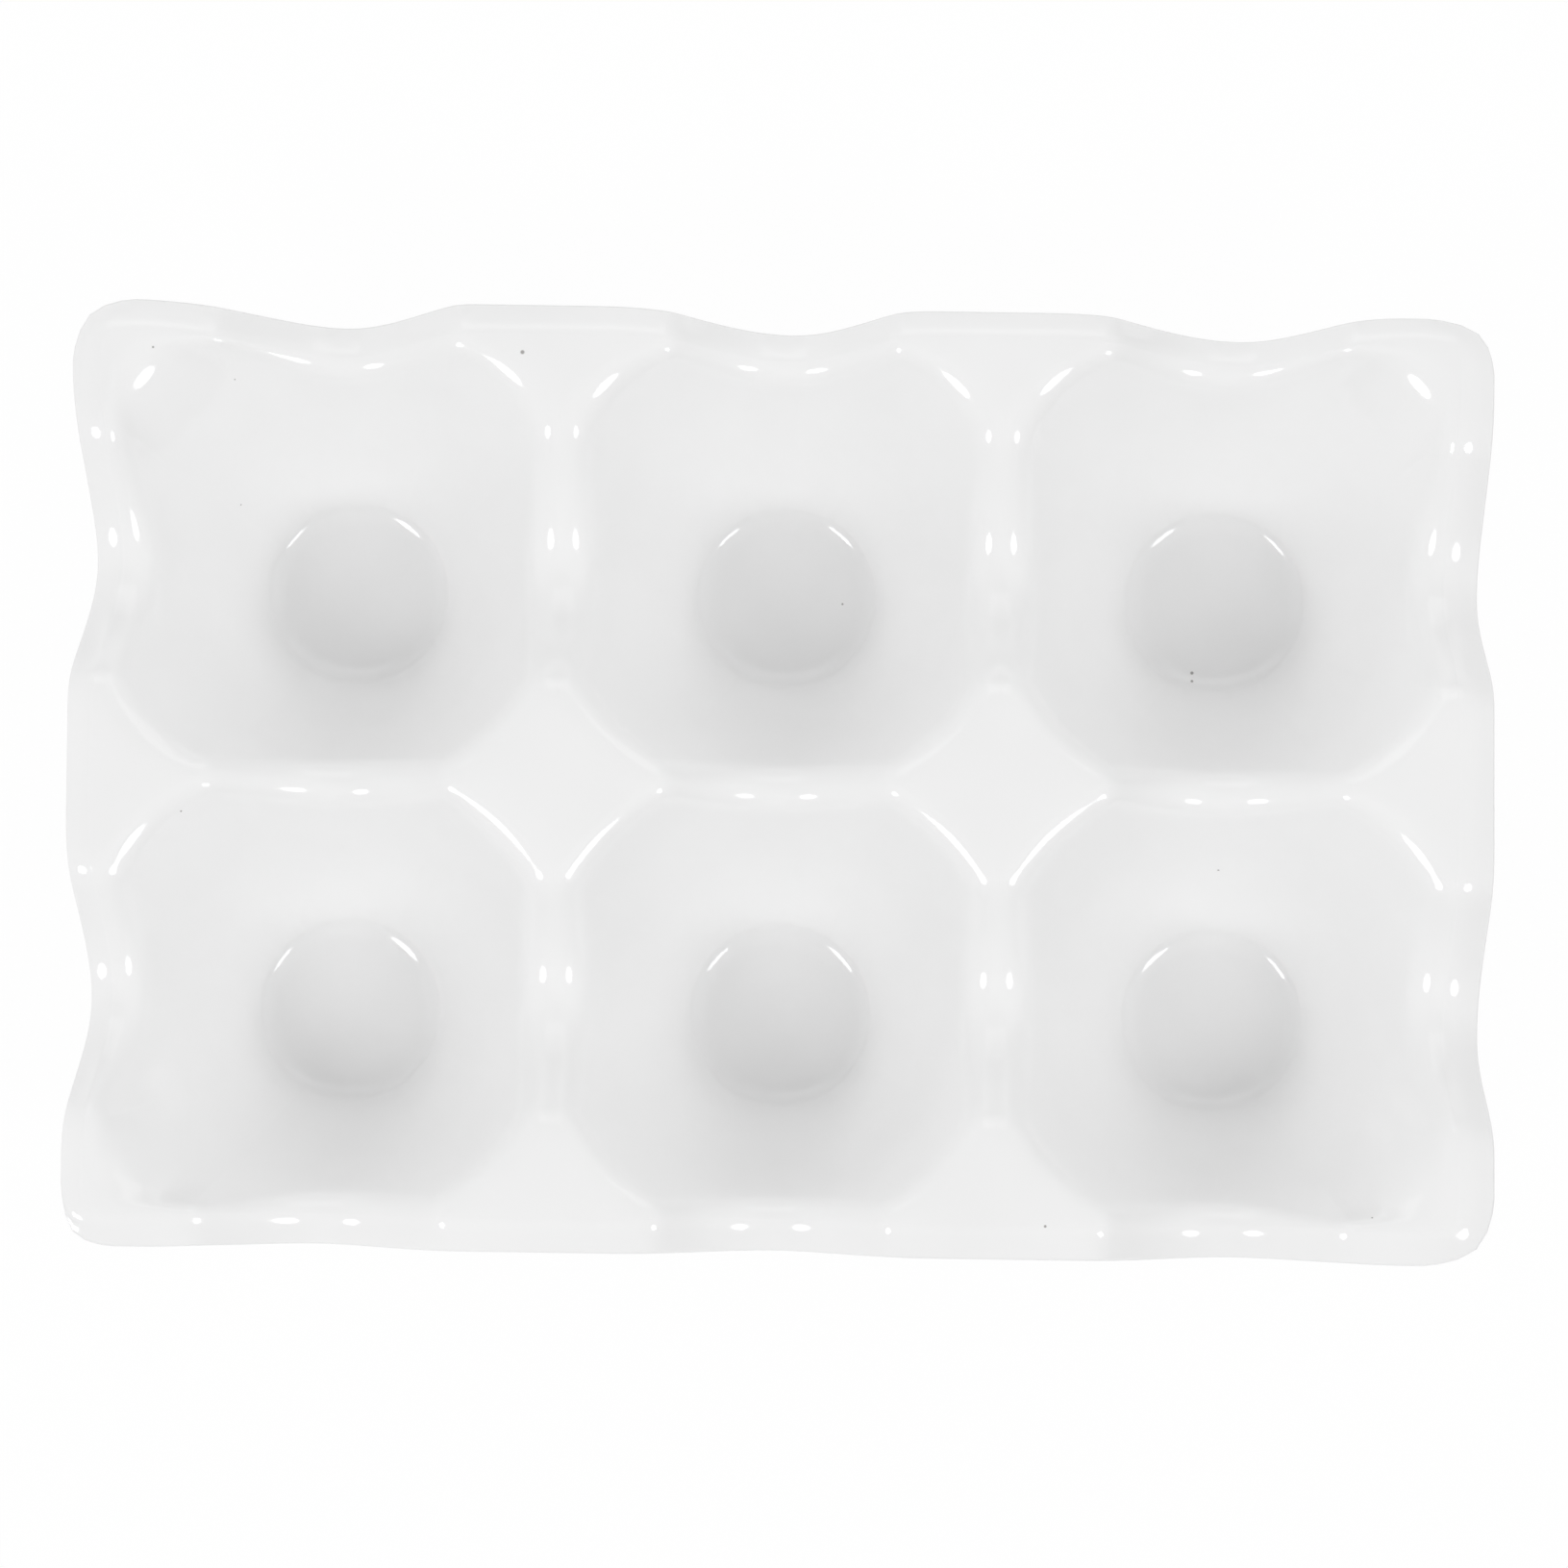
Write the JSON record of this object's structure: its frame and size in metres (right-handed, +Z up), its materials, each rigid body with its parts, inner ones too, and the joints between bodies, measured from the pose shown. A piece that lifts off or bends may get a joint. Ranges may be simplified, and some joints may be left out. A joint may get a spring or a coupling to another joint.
{
  "type": "egg tray",
  "caption": "One-piece glazed porcelain tray whose conical cups hold eggs upright, with rounded ridges dipping between cups, flat peaks and a rolled lip.",
  "frame": {"origin": "centre of the tray's footprint, on the surface that it stands on", "axes": "+X along the longer side, +Y towards the back as pictured, +Z up out of the cups"},
  "size_m": [0.1646, 0.111, 0.034],
  "materials": {
    "glazed_porcelain": "clear glossy glaze over white porcelain"
  },
  "bodies": {
    "root": {"tray": "glazed_porcelain"}
  },
  "joints": []
}
